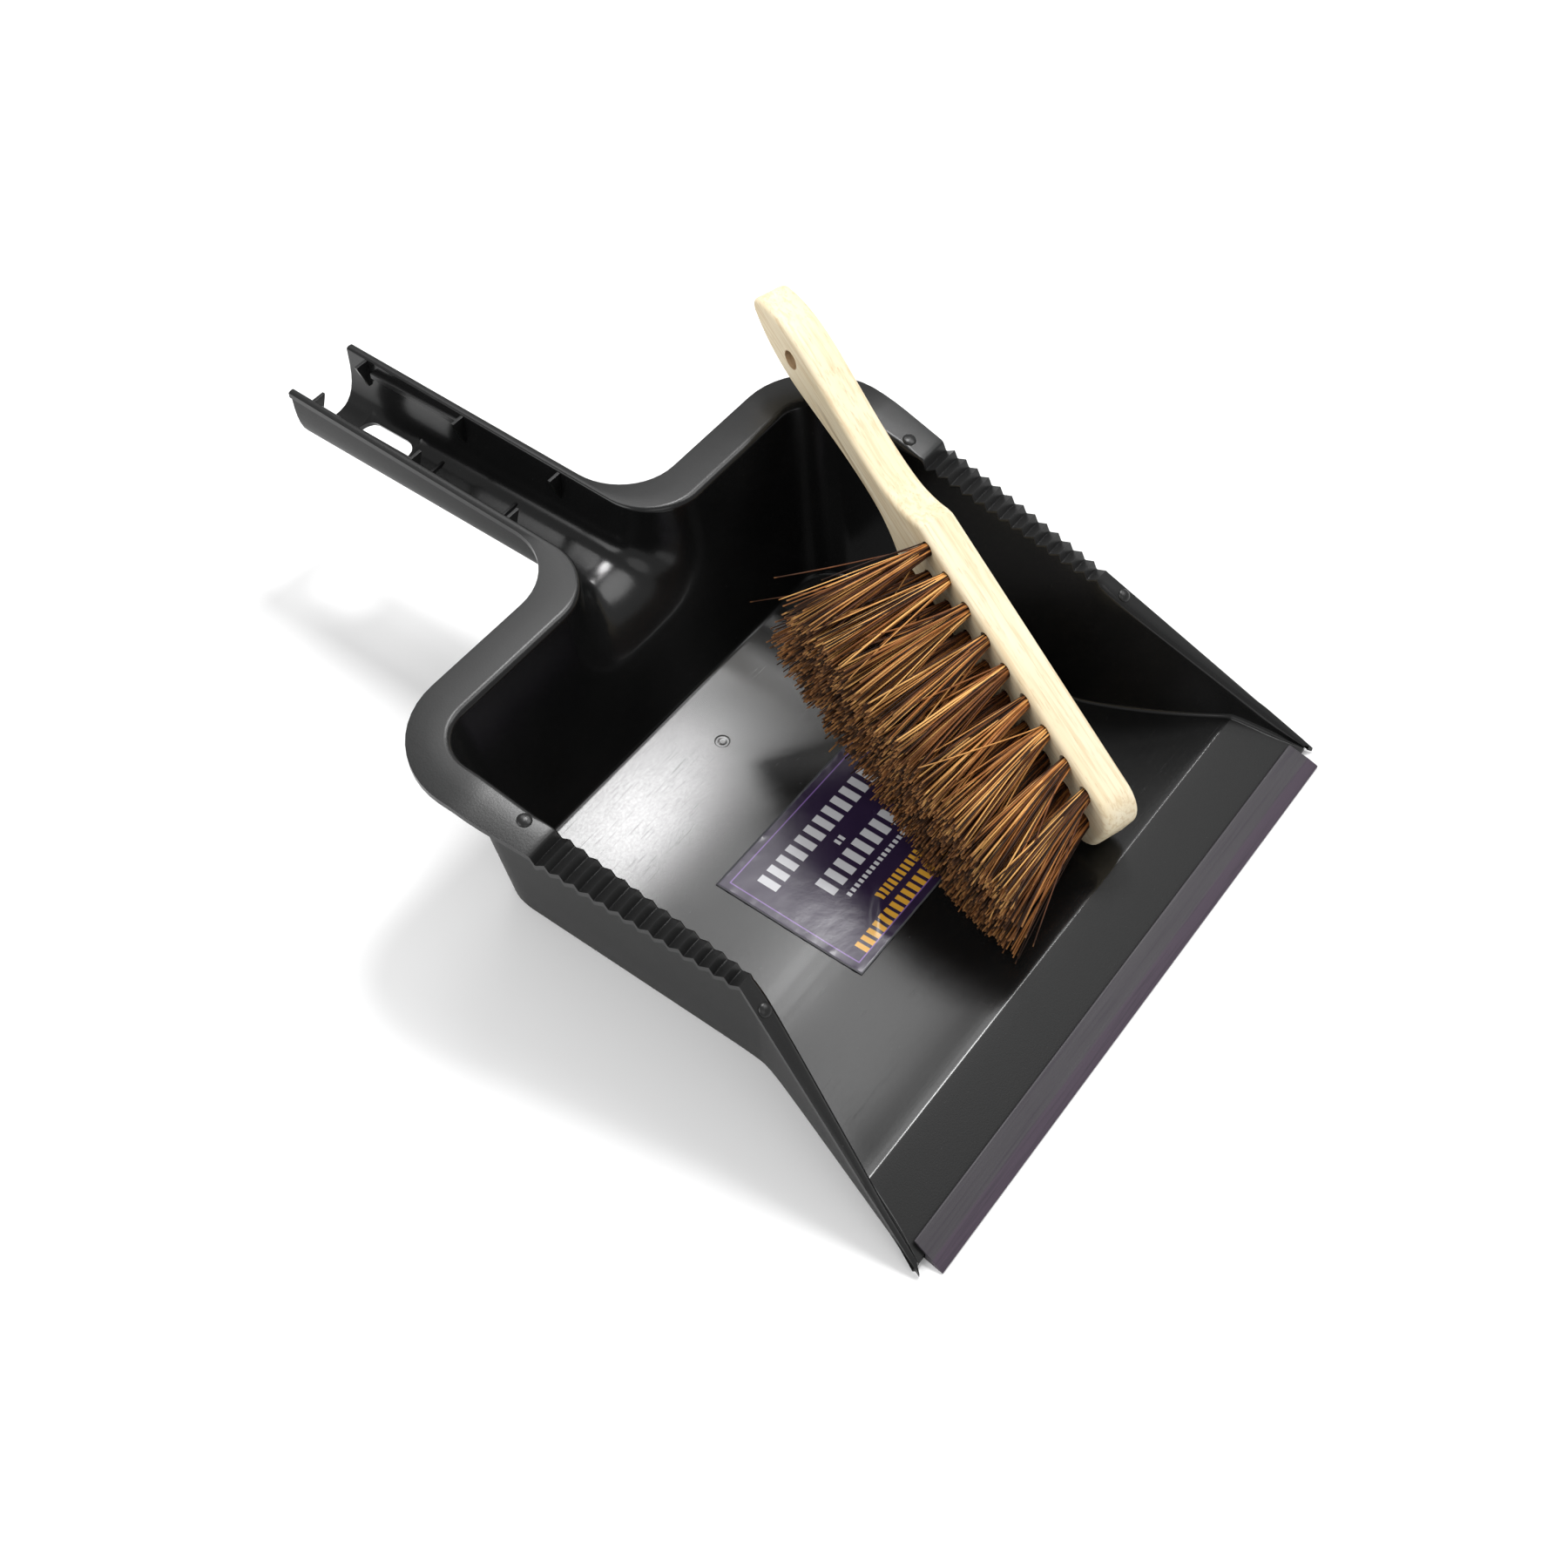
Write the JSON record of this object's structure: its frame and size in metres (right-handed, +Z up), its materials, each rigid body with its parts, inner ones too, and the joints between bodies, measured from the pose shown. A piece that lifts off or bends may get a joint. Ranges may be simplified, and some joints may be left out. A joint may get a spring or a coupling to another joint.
{
  "type": "dust pan and brush set",
  "caption": "Large open dust pan with a trough handle, toothed side rims and a soft front lip, with a wooden hand brush resting in it on its bristles.",
  "frame": {"origin": "middle of the set's footprint, on the ground", "axes": "+Z up; the pan's handle points along +Y and its front lip faces -Y; +X is to the right, looking into the pan from its lip"},
  "size_m": [0.3302, 0.47, 0.1482],
  "materials": {
    "pan_plastic": "moulded black polypropylene, glossy floor, satin rim",
    "lip_rubber": "satin dark grey soft plastic with a purple cast",
    "label_film": "dark violet gloss film with pale ornament",
    "stock_wood": "pale sanded hardwood, clear finish",
    "bristle_fibre": "stiff brown plant fibre"
  },
  "bodies": {
    "pan": {"pan_body": "pan_plastic", "lip_seal": "lip_rubber", "label": "label_film"},
    "brush": {"brush_stock": "stock_wood", "tuft_a1": "bristle_fibre", "tuft_a2": "bristle_fibre", "tuft_a3": "bristle_fibre", "tuft_a4": "bristle_fibre", "tuft_a5": "bristle_fibre", "tuft_a6": "bristle_fibre", "tuft_a7": "bristle_fibre", "tuft_a8": "bristle_fibre", "tuft_a9": "bristle_fibre", "tuft_b1": "bristle_fibre", "tuft_b2": "bristle_fibre", "tuft_b3": "bristle_fibre", "tuft_b4": "bristle_fibre", "tuft_b5": "bristle_fibre", "tuft_b6": "bristle_fibre", "tuft_b7": "bristle_fibre", "tuft_b8": "bristle_fibre", "tuft_b9": "bristle_fibre", "tuft_c1": "bristle_fibre", "tuft_c2": "bristle_fibre", "tuft_c3": "bristle_fibre", "tuft_c4": "bristle_fibre", "tuft_c5": "bristle_fibre", "tuft_c6": "bristle_fibre", "tuft_c7": "bristle_fibre", "tuft_c8": "bristle_fibre", "tuft_c9": "bristle_fibre"}
  },
  "joints": [
    {"name": "brush_lift", "type": "slide", "parent": "pan", "child": "brush", "axis": [0, 0, 1], "range_m": [0, 0.16]}
  ]
}
